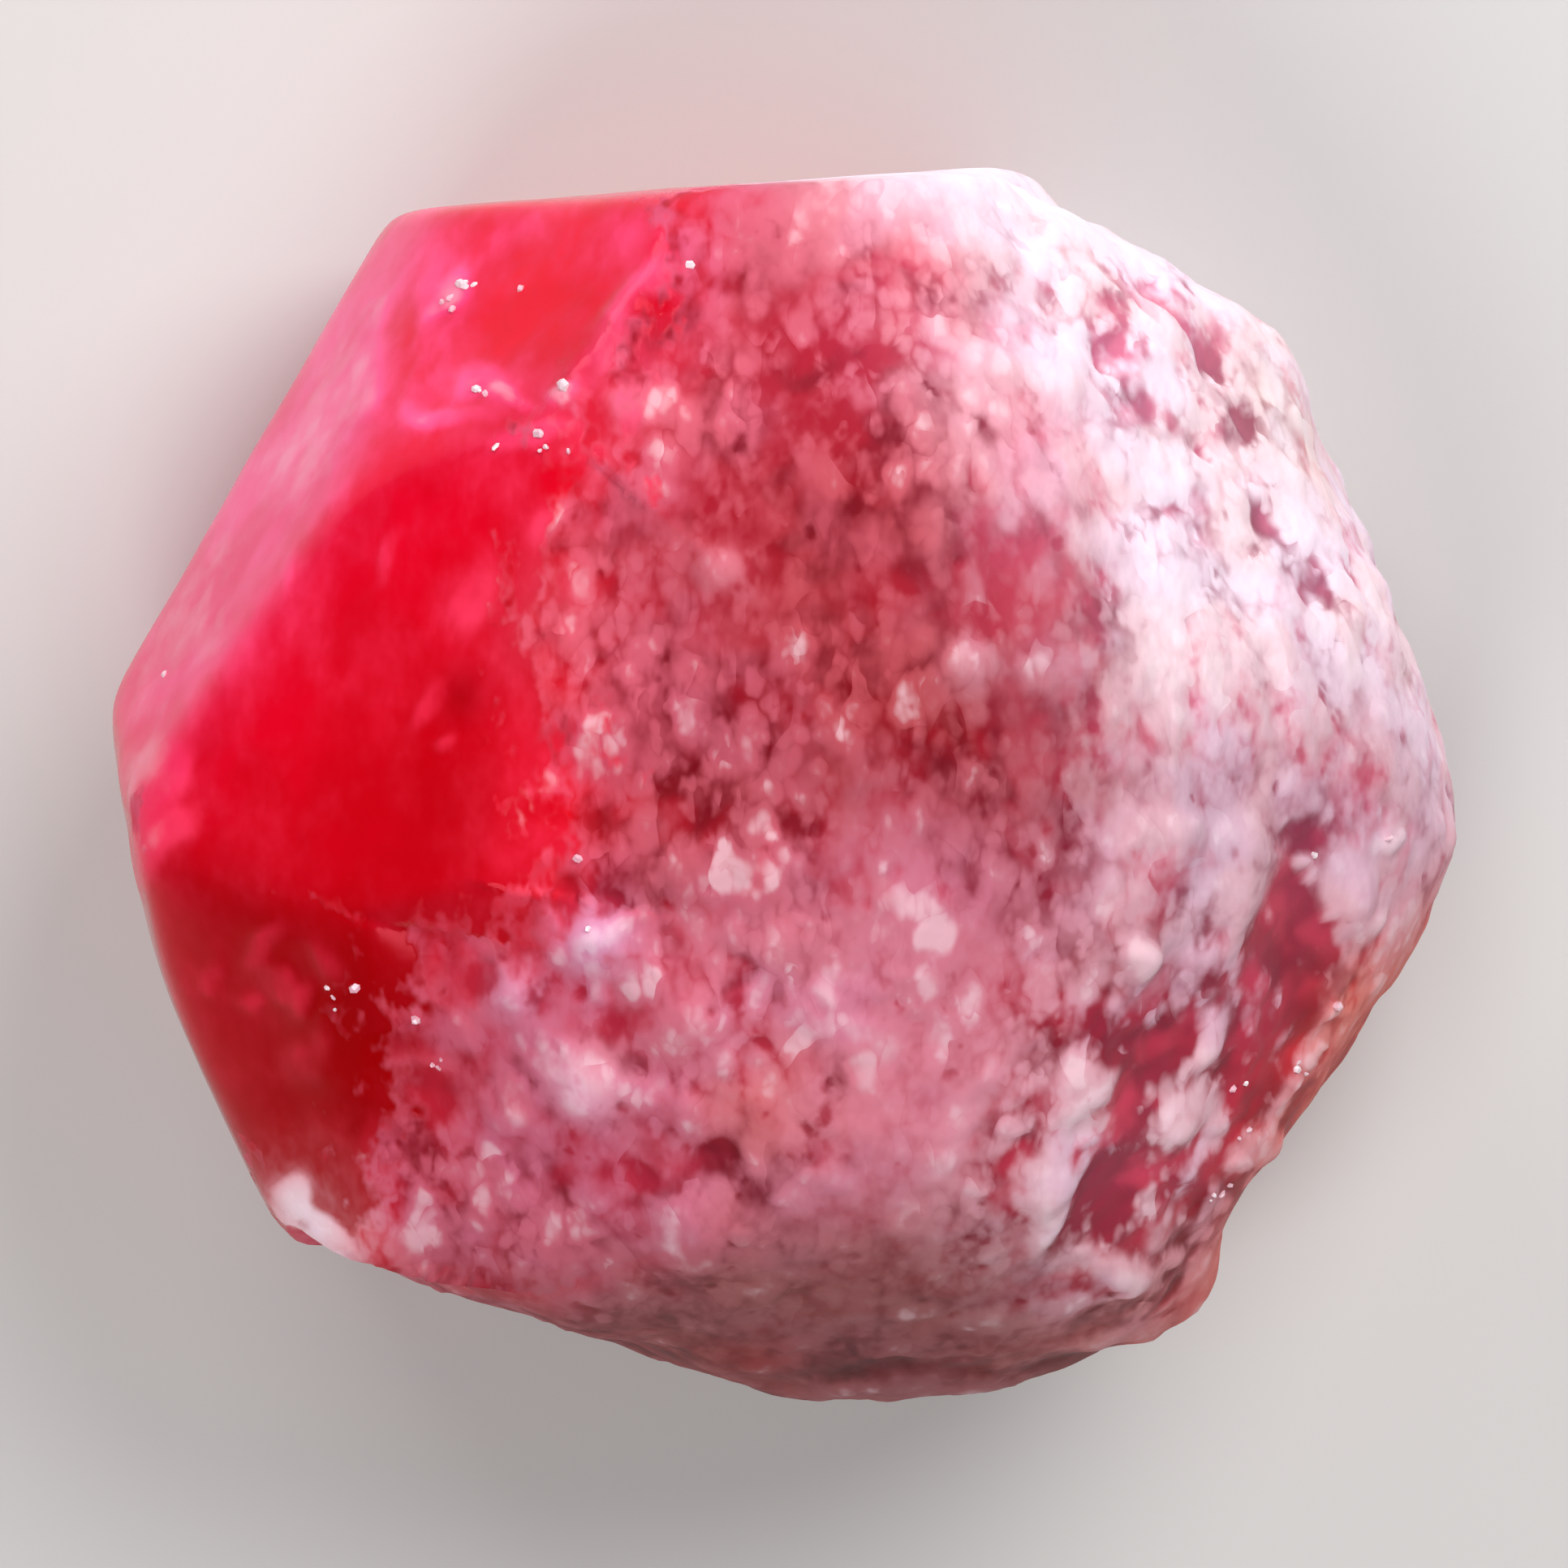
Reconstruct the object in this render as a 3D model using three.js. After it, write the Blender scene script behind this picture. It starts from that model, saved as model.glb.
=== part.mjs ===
// Red beryl crystal. A stubby six-sided crystal that stands on the flat break where it came off its
// rock. Its left side has a few clear, flat crystal faces. The rest is rounded and carries a frosted
// skin with chalky lumps and small pits. Lengths are millimetres and +Z is up, along the crystal's
// axis. The origin is on the flat base, straight below the heart, an inner point at the height where
// the crystal is widest.

import * as THREE from 'three';
import { mergeVertices } from 'three/addons/utils/BufferGeometryUtils.js';

// Driving dimensions.
const HEART_HEIGHT = 4.4; // the heart and the widest level, above the base
const CRISP = 70; // how sharp the edges between clear faces are, as the power of a power mean
const WORN = 18; // the same for the rounded edges of the crust
const CLEAR_FADE = [-0.7, 0.3]; // from worn to crisp across the crust's border
const SKIN_THICKNESS = 0.05; // the crust over the clear faces
const SKIN_EDGE = [-0.3, 0.3]; // how steeply the crust's edge rises
const SKIN_RAGGED = 0.5; // how far the crust's edge wanders
const CLEAR_ROUGH = 0.06; // a clear face's share of the rolling relief
const ROUGH_BLEND = 26; // how sharply one face's roughness gives way to the next

// The sides, as they cross the widest level: the direction that each faces, its distance from the
// axis, its tilt above and below that level (0 faces up and 90 sideways), and its share of the
// rolling relief. A face without a share is clear.
const SIDES = [
  { azimuth: 0, spread: 8.86, above: 80, below: 104, rough: 0.8 },
  { azimuth: 20, spread: 8.2, above: 80, below: 99, rough: 0.8 },
  { azimuth: 42, spread: 9, above: 82, below: 104, rough: 0.8 },
  { azimuth: 62, spread: 8.3, above: 80, below: 101, rough: 0.8 },
  { azimuth: 94, spread: 7.52, above: 87, below: 96 },
  { azimuth: 150, spread: 7.85, above: 72, below: 95 },
  { azimuth: 190, spread: 8.14, above: 86, below: 97 },
  { azimuth: 205, spread: 8.06, above: 87, below: 96 },
  { azimuth: 235, spread: 8.25, above: 82, below: 102, rough: 0.4 },
  { azimuth: 252, spread: 7.65, above: 84, below: 97, rough: 0.5 },
  { azimuth: 272, spread: 8, above: 82, below: 104, rough: 0.5 },
  { azimuth: 293, spread: 8.54, above: 82, below: 101, rough: 0.5 },
  { azimuth: 326, spread: 7.88, above: 84, below: 98, rough: 0.4 },
];

// The faces of the top: their direction, their slope, the height above the heart at which they
// would cross the axis, and their share of the rolling relief, unless they are clear.
const CAPS = [
  { azimuth: 134, tilt: 55.3, rise: 13.4 }, // upper left facet
  { azimuth: 165, tilt: 36, rise: 8.75 }, // the large left facet
  { azimuth: 212, tilt: 47.5, rise: 11.15 }, // lower left facet
  { azimuth: 159, tilt: 20.7, rise: 7.6, rough: 0.3 }, // left of the dome
  { azimuth: 350, tilt: 12, rise: 7.55, rough: 0.3 }, // right of the dome
  { azimuth: 99, tilt: 25, rise: 8.25, rough: 0.35 }, // towards the top edge
  { azimuth: 35, tilt: 55, rise: 12.5, rough: 0.8 }, // chalky upper right slope
  { azimuth: 355, tilt: 50, rise: 11.4, rough: 0.8 }, // right slope
  { azimuth: 322, tilt: 54, rise: 12.3, rough: 0.6 }, // lower right slope
  { azimuth: 280, tilt: 28, rise: 8.2, rough: 0.4 }, // front shoulder
  { azimuth: 275, tilt: 62, rise: 15.4, rough: 0.5 }, // front rim
  { azimuth: 231, tilt: 36.8, rise: 8.9, rough: 0.4 }, // frosted lower left slope
];

// Lumps and pits on the upper side: where, how wide and how high or deep.
const LUMPS = [
  [-2.3, -1.9, 0.5, 0.14],
  [-1.2, -1, 0.4, 0.1],
  [-0.2, -1, 0.4, 0.1],
  [0, -1.9, 0.45, 0.1],
  [-3.2, -2.4, 0.45, 0.12],
  [-1.1, -2.8, 0.5, 0.14],
  [-2.4, -3.5, 0.6, 0.2],
  [-1.3, -3.8, 0.4, 0.1],
  [-3.3, -4, 0.35, 0.1],
  [-1.1, -5.3, 0.7, 0.16],
  [1.5, 4.6, 0.4, 0.12],
  [-0.8, 2.6, 0.35, 0.1],
  [2.2, 1.5, 0.4, 0.12],
  [0.7, 0.3, 0.4, 0.1],
  [1.6, -1.6, 0.9, 0.12],
  [3.3, 4.9, 0.5, 0.14],
  [4.25, -2, 0.25, 0.14],
  [4.7, -0.5, 0.42, 0.15],
  [5.5, -0.7, 0.42, 0.16],
  [5.35, -1.35, 0.42, 0.17],
  [5.1, -2.2, 0.38, 0.14],
  [4.6, 0.4, 0.7, 0.14],
  [6.9, -1.3, 0.45, 0.14],
  [3.7, -3.6, 0.38, 0.13],
  [3.1, -4.8, 0.42, 0.13],
  [4.1, -5.9, 0.5, 0.16],
  [4.7, -4.1, 0.38, 0.13],
  [5.1, -3.1, 0.3, 0.1],
  [7.2, 2.2, 0.9, 0.2],
  [6, 5.4, 0.9, 0.2],
  [5.1, -6.3, 0.9, 0.42],
  [-5.9, -5.2, 0.6, 0.2],
];
const PITS = [
  [4.4, 6, 0.34, 0.16],
  [3.8, 5.2, 0.36, 0.16],
  [2.8, 6.7, 0.4, 0.14],
  [5.2, 5.2, 0.36, 0.18],
  [5.1, 4.2, 0.32, 0.14],
  [4.9, 3.1, 0.34, 0.14],
  [5.8, 3.1, 0.34, 0.16],
  [6.4, 2.4, 0.36, 0.18],
  [2.6, 2.7, 0.9, 0.16],
  [2.3, 0.7, 0.9, 0.12],
  [-0.9, -4.5, 0.42, 0.14],
  [-0.2, -3.2, 0.6, 0.12],
  [-2.4, -0.1, 0.6, 0.14],
  [-1.2, 0.2, 0.6, 0.14],
  [3.7, -0.4, 0.6, 0.12],
  [5.9, -5, 0.9, 0.4],
  [-2.2, -6.9, 1, 0.25],
];

// Rolling relief of the crust: wavelength, height and the number that seeds it.
const RELIEF = [
  { wavelength: 3.1, height: 0.17, seed: 11 },
  { wavelength: 1.5, height: 0.13, seed: 23 },
  { wavelength: 0.8, height: 0.1, seed: 37 },
];

// The mesh: rows of facets along each side of an icosahedron, and how strongly they are gathered
// towards the top, away from the flat base.
const SUBDIVISIONS = 21;
const LEAN_UP = 0.35;
const FACET_ANGLE = 0.052; // radians between neighbouring vertices, before they are gathered
const SNAP = 0.38; // vertices this close to an edge, in facets, move onto it
const RIM_BELOW = -0.35; // directions that point further down than this may meet the base's rim

const radians = THREE.MathUtils.degToRad;
const FACES = [...SIDES.flatMap(sideFaces), ...CAPS.map(capFace)];

function outward(azimuth, tilt) {
  const level = Math.sin(radians(tilt));
  const x = level * Math.cos(radians(azimuth));
  const y = level * Math.sin(radians(azimuth));
  return new THREE.Vector3(x, y, Math.cos(radians(tilt)));
}

function sideFaces({ azimuth, spread, above, below, rough }) {
  return [above, below].map((lean) => ({
    normal: outward(azimuth, lean),
    distance: spread * Math.sin(radians(lean)),
    rough,
  }));
}

function capFace({ azimuth, tilt, rise, rough }) {
  return { normal: outward(azimuth, tilt), distance: rise * Math.cos(radians(tilt)), rough };
}

// How far out a point is, as a share of the way to a face: 1 on its plane.
function share(face, point) {
  return face.normal.dot(point) / face.distance;
}

// The same for the whole solid, with its edges rounded by a power mean.
function gauge(point, power) {
  const sum = FACES.reduce((total, face) => total + Math.max(share(face, point), 0) ** power, 0);
  return sum ** (1 / power);
}

function furthest(faces, point) {
  return faces.reduce((best, face) => (share(face, point) > share(best, point) ? face : best));
}

// The plane through the heart that holds the edge between two faces: its normal, not of length 1.
function edgePlane(a, b) {
  const plane = a.normal.clone().divideScalar(a.distance);
  return plane.sub(b.normal.clone().divideScalar(b.distance));
}

// Distance from the border between the clear faces and the crust, positive on the clear side.
const CLEAR_FACES = FACES.filter((face) => face.rough === undefined);
const CRUST_FACES = FACES.filter((face) => face.rough !== undefined);
function clearSide(point) {
  const plane = edgePlane(furthest(CLEAR_FACES, point), furthest(CRUST_FACES, point));
  return plane.dot(point) / plane.length();
}

// A repeatable number from -1 to 1 for each corner of a lattice.
function cornerValue(i, j, k, seed) {
  let hash = Math.imul(i, 374761393) + Math.imul(j, 668265263);
  hash += Math.imul(k, 1442695041) + Math.imul(seed, 1013904223);
  hash = Math.imul(hash ^ (hash >>> 13), 1274126177);
  return ((hash ^ (hash >>> 16)) >>> 0) / 2 ** 31 - 1;
}

// Smooth noise from -1 to 1 with the given wavelength.
function noise(point, wavelength, seed) {
  const scaled = point.clone().divideScalar(wavelength);
  const corner = scaled.clone().floor();
  const inside = scaled.sub(corner);
  const weights = inside.toArray().map((t) => t * t * (3 - 2 * t));
  let value = 0;
  for (let step = 0; step < 8; step += 1) {
    const offsets = [step & 1, (step >> 1) & 1, step >> 2];
    const weight = offsets.reduce((w, on, axis) => w * (on ? weights[axis] : 1 - weights[axis]), 1);
    const [i, j, k] = corner.toArray().map((start, axis) => start + offsets[axis]);
    value += weight * cornerValue(i, j, k, seed);
  }
  return value;
}

// The smooth solid's radius from the heart, crisp on the clear side and worn on the crust.
function bareRadius(direction) {
  const worn = 1 / gauge(direction, WORN);
  const border = clearSide(direction.clone().multiplyScalar(worn));
  const crispness = THREE.MathUtils.smoothstep(border, ...CLEAR_FADE);
  return THREE.MathUtils.lerp(worn, 1 / gauge(direction, CRISP), crispness);
}

// The point of the upper surface above a place in plan, measured from the heart.
function surfaceAbove(x, y) {
  let low = 0;
  let high = 12;
  while (high - low > 0.001) {
    const middle = (low + high) / 2;
    if (gauge(new THREE.Vector3(x, y, middle), WORN) < 1) low = middle;
    else high = middle;
  }
  return new THREE.Vector3(x, y, low);
}

const BUMPS = [...LUMPS, ...PITS.map(([x, y, width, depth]) => [x, y, width, -depth])].map(
  ([x, y, width, height]) => ({ centre: surfaceAbove(x, y), width, height }),
);

function bumps(point) {
  return BUMPS.reduce((total, { centre, width, height }) => {
    const away = point.distanceTo(centre) / width;
    return total + height * Math.exp(-away * away);
  }, 0);
}

// The crust's share of the rolling relief, blended from the faces that a point is nearest to.
function crustRough(point) {
  const weights = CRUST_FACES.map((face) => Math.max(share(face, point), 0) ** ROUGH_BLEND);
  const total = weights.reduce((sum, weight) => sum + weight, 0);
  const blend = CRUST_FACES.reduce((sum, { rough }, i) => sum + rough * weights[i], 0);
  return total > 0 ? blend / total : CLEAR_ROUGH;
}

// Height of the crust and its relief over the smooth solid.
function relief(point) {
  const border = clearSide(point) + SKIN_RAGGED * noise(point, 1.7, 5);
  const skin = 1 - THREE.MathUtils.smoothstep(border, ...SKIN_EDGE);
  const rolling = RELIEF.reduce(
    (sum, { wavelength, height, seed }) => sum + height * noise(point, wavelength, seed),
    0,
  );
  const rough = THREE.MathUtils.lerp(CLEAR_ROUGH, crustRough(point), skin);
  return skin * (SKIN_THICKNESS + bumps(point)) + rough * rolling;
}

// Moves a direction onto the edge between its two nearest faces, where that edge is close.
function snapToEdge(direction, reach) {
  const faces = FACES.toSorted((a, b) => share(b, direction) - share(a, direction));
  const plane = edgePlane(faces[0], faces[1]);
  const angle = plane.dot(direction) / plane.length();
  if (Math.abs(angle) > reach) return direction;
  return direction.clone().addScaledVector(plane.normalize(), -angle).normalize();
}

// The radius of the solid with its relief, before the base cuts it off.
function raisedRadius(direction) {
  const radius = bareRadius(direction);
  return radius + relief(direction.clone().multiplyScalar(radius));
}

function baseRadius(direction) {
  return direction.z < 0 ? HEART_HEIGHT / -direction.z : Infinity;
}

// Moves a direction onto the rim of the base, where the rim is close.
function snapToRim(direction, reach) {
  const leaning = (lean) => direction.clone().setZ(direction.z + lean).normalize();
  const inBase = (lean) => raisedRadius(leaning(lean)) > baseRadius(leaning(lean));
  let low = -reach;
  let high = reach;
  if (inBase(low) === inBase(high)) return direction;
  for (let round = 0; round < 10; round += 1) {
    const middle = (low + high) / 2;
    if (inBase(middle)) low = middle;
    else high = middle;
  }
  return leaning(low);
}

// The finished surface point in a direction from the heart, flat on the base. Reach is how far, as
// an angle, it may move to lie on an edge.
function surfacePoint(direction, reach) {
  const snap = direction.z < RIM_BELOW ? snapToRim : snapToEdge;
  const aim = snap(direction, reach);
  const raised = raisedRadius(aim);
  const toBase = baseRadius(aim);
  const point = aim.clone().multiplyScalar(Math.min(raised, toBase));
  point.z = raised < toBase ? point.z + HEART_HEIGHT : 0;
  return point;
}

function crystalGeometry() {
  const ball = new THREE.IcosahedronGeometry(1, SUBDIVISIONS);
  ball.deleteAttribute('normal');
  ball.deleteAttribute('uv');
  const geometry = mergeVertices(ball, 1e-5);
  const position = geometry.getAttribute('position');
  const direction = new THREE.Vector3();
  for (let i = 0; i < position.count; i += 1) {
    direction.fromBufferAttribute(position, i);
    const level = direction.z;
    direction.z += LEAN_UP;
    const spacing = FACET_ANGLE * Math.sqrt((1 + LEAN_UP * level) / direction.length() ** 3);
    const point = surfacePoint(direction.normalize(), SNAP * spacing);
    position.setXYZ(i, point.x, point.y, point.z);
  }
  geometry.computeVertexNormals();
  return geometry;
}

function crystal() {
  const material = new THREE.MeshStandardMaterial({ color: 0xc8505f, roughness: 0.6, metalness: 0 });
  const mesh = new THREE.Mesh(crystalGeometry(), material);
  mesh.name = 'crystal';
  return mesh;
}

const part = new THREE.Group();
part.add(crystal());

export default part;
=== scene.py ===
"""Red beryl crystal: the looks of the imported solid.

The crystal's surface is worked out again from the faces, lumps and pits of its solid, on a much
finer mesh with grain added, and it stands for the solid. Shapes and colours are worked out in
millimetres, measured from the crystal's heart, an inner point at the height where it is widest.
Colours are given as the usual 0 to 255 values. A layer of noise is wavelength, height and seed,
and a cloud of noise is wavelength, octaves and seed.
"""

import collections
import itertools
import math

import bpy
import mathutils
import numpy as np
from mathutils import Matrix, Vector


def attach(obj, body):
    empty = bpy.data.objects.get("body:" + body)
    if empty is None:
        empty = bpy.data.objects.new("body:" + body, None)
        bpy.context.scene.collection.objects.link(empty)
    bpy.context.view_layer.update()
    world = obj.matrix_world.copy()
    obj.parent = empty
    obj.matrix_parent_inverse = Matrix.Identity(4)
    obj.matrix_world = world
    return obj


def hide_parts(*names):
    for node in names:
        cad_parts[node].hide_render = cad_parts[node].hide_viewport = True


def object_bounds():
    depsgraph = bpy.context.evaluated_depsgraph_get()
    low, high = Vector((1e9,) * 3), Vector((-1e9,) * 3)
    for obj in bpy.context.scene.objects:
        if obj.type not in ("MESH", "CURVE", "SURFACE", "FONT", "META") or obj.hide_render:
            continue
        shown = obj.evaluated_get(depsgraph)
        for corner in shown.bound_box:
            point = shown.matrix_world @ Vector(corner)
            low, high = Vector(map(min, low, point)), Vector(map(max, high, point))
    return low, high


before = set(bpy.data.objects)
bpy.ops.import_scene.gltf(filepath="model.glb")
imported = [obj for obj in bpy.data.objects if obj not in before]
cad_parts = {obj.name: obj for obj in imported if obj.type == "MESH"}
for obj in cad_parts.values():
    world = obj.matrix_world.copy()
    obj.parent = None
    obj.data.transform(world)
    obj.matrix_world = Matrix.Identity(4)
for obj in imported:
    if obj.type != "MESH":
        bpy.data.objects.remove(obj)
cad_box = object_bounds()

MM = 0.001

# ---------------------------------------------------------------- the solid's own dimensions
HEART_HEIGHT = 4.4  # the heart and the widest level, above the base
CRISP = 70  # how sharp the edges between clear faces are, as the power of a power mean
WORN = 18  # the same for the rounded edges of the crust
CLEAR_FADE = (-0.7, 0.3)  # from worn to crisp across the crust's border
SKIN_THICKNESS = 0.05  # the crust over the clear faces
SKIN_EDGE = (-0.3, 0.3)  # how steeply the crust's edge rises
SKIN_RAGGED = [(1.7, 0.5, 5)]  # how the crust's edge wanders
CLEAR_ROUGH = 0.06  # a clear face's share of the rolling relief
FACE_BLEND = 26  # how sharply one face's look gives way to the next

# Side faces: azimuth, distance from the axis, tilt above and below the widest level, look.
SIDES = [
    (0, 8.86, 80, 104, "grey_crust"),
    (20, 8.2, 80, 99, "chalk"),
    (42, 9, 82, 104, "chalk"),
    (62, 8.3, 80, 101, "chalk"),
    (94, 7.52, 87, 96, "clear_top"),
    (150, 7.85, 72, 95, "frosted_side"),
    (190, 8.14, 86, 97, "clear_left"),
    (205, 8.06, 87, 96, "clear_deep"),
    (235, 8.25, 82, 102, "mauve"),
    (252, 7.65, 84, 97, "rim"),
    (272, 8, 82, 104, "rim"),
    (293, 8.54, 82, 101, "rim"),
    (326, 7.88, 84, 98, "salmon"),
]

# Top faces: azimuth, tilt, height over the heart at which they cross the axis, look.
CAPS = [
    (134, 55.3, 13.4, "clear_top"),
    (165, 36, 8.75, "clear_left"),
    (212, 47.5, 11.15, "clear_deep"),
    (159, 20.7, 7.6, "rose"),
    (350, 12, 7.55, "brown_rose"),
    (99, 25, 8.25, "pink"),
    (35, 55, 12.5, "chalk"),
    (355, 50, 11.4, "grey_crust"),
    (322, 54, 12.3, "dark_rose"),
    (280, 28, 8.2, "soft_pink"),
    (275, 62, 15.4, "rim"),
    (231, 36.8, 8.9, "mauve"),
]

# Lumps and pits of the upper side: place in plan, width, height or depth.
LUMPS = [
    (-2.3, -1.9, 0.5, 0.14),
    (-1.2, -1.0, 0.4, 0.1),
    (-0.2, -1.0, 0.4, 0.1),
    (0.0, -1.9, 0.45, 0.1),
    (-3.2, -2.4, 0.45, 0.12),
    (-1.1, -2.8, 0.5, 0.14),
    (-2.4, -3.5, 0.6, 0.2),
    (-1.3, -3.8, 0.4, 0.1),
    (-3.3, -4.0, 0.35, 0.1),
    (-1.1, -5.3, 0.7, 0.16),
    (1.5, 4.6, 0.4, 0.12),
    (-0.8, 2.6, 0.35, 0.1),
    (2.2, 1.5, 0.4, 0.12),
    (0.7, 0.3, 0.4, 0.1),
    (1.6, -1.6, 0.9, 0.12),
    (3.3, 4.9, 0.5, 0.14),
    (4.25, -2.0, 0.25, 0.14),
    (4.7, -0.5, 0.42, 0.15),
    (5.5, -0.7, 0.42, 0.16),
    (5.35, -1.35, 0.42, 0.17),
    (5.1, -2.2, 0.38, 0.14),
    (4.6, 0.4, 0.7, 0.14),
    (6.9, -1.3, 0.45, 0.14),
    (3.7, -3.6, 0.38, 0.13),
    (3.1, -4.8, 0.42, 0.13),
    (4.1, -5.9, 0.5, 0.16),
    (4.7, -4.1, 0.38, 0.13),
    (5.1, -3.1, 0.3, 0.1),
    (7.2, 2.2, 0.9, 0.2),
    (6.0, 5.4, 0.9, 0.2),
    (5.1, -6.3, 0.9, 0.42),
    (-5.9, -5.2, 0.6, 0.2),
]
PITS = [
    (4.4, 6.0, 0.34, 0.16),
    (3.8, 5.2, 0.36, 0.16),
    (2.8, 6.7, 0.4, 0.14),
    (5.2, 5.2, 0.36, 0.18),
    (5.1, 4.2, 0.32, 0.14),
    (4.9, 3.1, 0.34, 0.14),
    (5.8, 3.1, 0.34, 0.16),
    (6.4, 2.4, 0.36, 0.18),
    (2.6, 2.7, 0.9, 0.16),
    (2.3, 0.7, 0.9, 0.12),
    (-0.9, -4.5, 0.42, 0.14),
    (-0.2, -3.2, 0.6, 0.12),
    (-2.4, -0.1, 0.6, 0.14),
    (-1.2, 0.2, 0.6, 0.14),
    (3.7, -0.4, 0.6, 0.12),
    (5.9, -5.0, 0.9, 0.4),
    (-2.2, -6.9, 1, 0.25),
]

RELIEF = [(3.1, 0.17, 11), (1.5, 0.13, 23), (0.8, 0.1, 37)]  # rolling relief of the crust

# ---------------------------------------------------------------- looks of the faces
def srgb(red, green, blue):
    """A linear colour from the usual 0 to 255 values."""
    shares = np.array((red, green, blue)) / 255
    return np.where(shares < 0.04045, shares / 12.92, ((shares + 0.055) / 1.055) ** 2.4)


Look = collections.namedtuple("Look", "bare frosted frost grain rough")

# Each look: the colour of the bare beryl and of its frost, how much frost it carries, from -1 for
# hardly any to 1 for nearly all, how grainy the frost is, and its share of the relief.
LOOKS = {
    # The clear faces are lit and shaded copies of one red beryl: palest on the top and the
    # left-hand strip, darkest on the face turned furthest from the light. This is partly painted
    # light and shade, partly the beryl's own deeper red.
    "clear_top": Look(srgb(255, 0, 48), srgb(255, 90, 150), -0.8, 0.0, CLEAR_ROUGH),
    "clear_left": Look(srgb(245, 0, 32), srgb(255, 60, 100), -0.9, 0.0, CLEAR_ROUGH),
    "clear_deep": Look(srgb(185, 0, 4), srgb(225, 50, 70), -1.0, 0.0, CLEAR_ROUGH),
    "frosted_side": Look(srgb(255, 22, 76), srgb(255, 82, 144), 0.5, 0.0, CLEAR_ROUGH),
    "rose": Look(srgb(128, 14, 26), srgb(176, 78, 92), 0.2, 1.0, 0.3),
    "brown_rose": Look(srgb(120, 13, 22), srgb(162, 68, 74), 0.1, 1.0, 0.3),
    "pink": Look(srgb(140, 24, 42), srgb(194, 84, 104), -0.1, 1.0, 0.35),
    "chalk": Look(srgb(186, 106, 130), srgb(246, 222, 232), 0.6, 0.9, 0.8),
    "grey_crust": Look(srgb(165, 65, 90), srgb(215, 172, 186), 0.4, 0.6, 0.8),
    "dark_rose": Look(srgb(142, 28, 44), srgb(212, 150, 166), -0.5, 0.8, 0.6),
    "salmon": Look(srgb(165, 38, 36), srgb(222, 118, 108), 0.1, 0.6, 0.4),
    "soft_pink": Look(srgb(150, 44, 62), srgb(218, 130, 152), 0.4, 0.8, 0.4),
    "mauve": Look(srgb(156, 30, 50), srgb(206, 102, 126), 0.25, 1.0, 0.4),
    # The rim is darker and greyer than the rest: partly the crust's own grey-brown, partly painted
    # shade on the side turned from the light.
    "rim": Look(srgb(92, 28, 28), srgb(152, 92, 92), 0.0, 0.35, 0.5),
}
CLEAR_LOOKS = ("clear_top", "clear_left", "clear_deep", "frosted_side")

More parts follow.
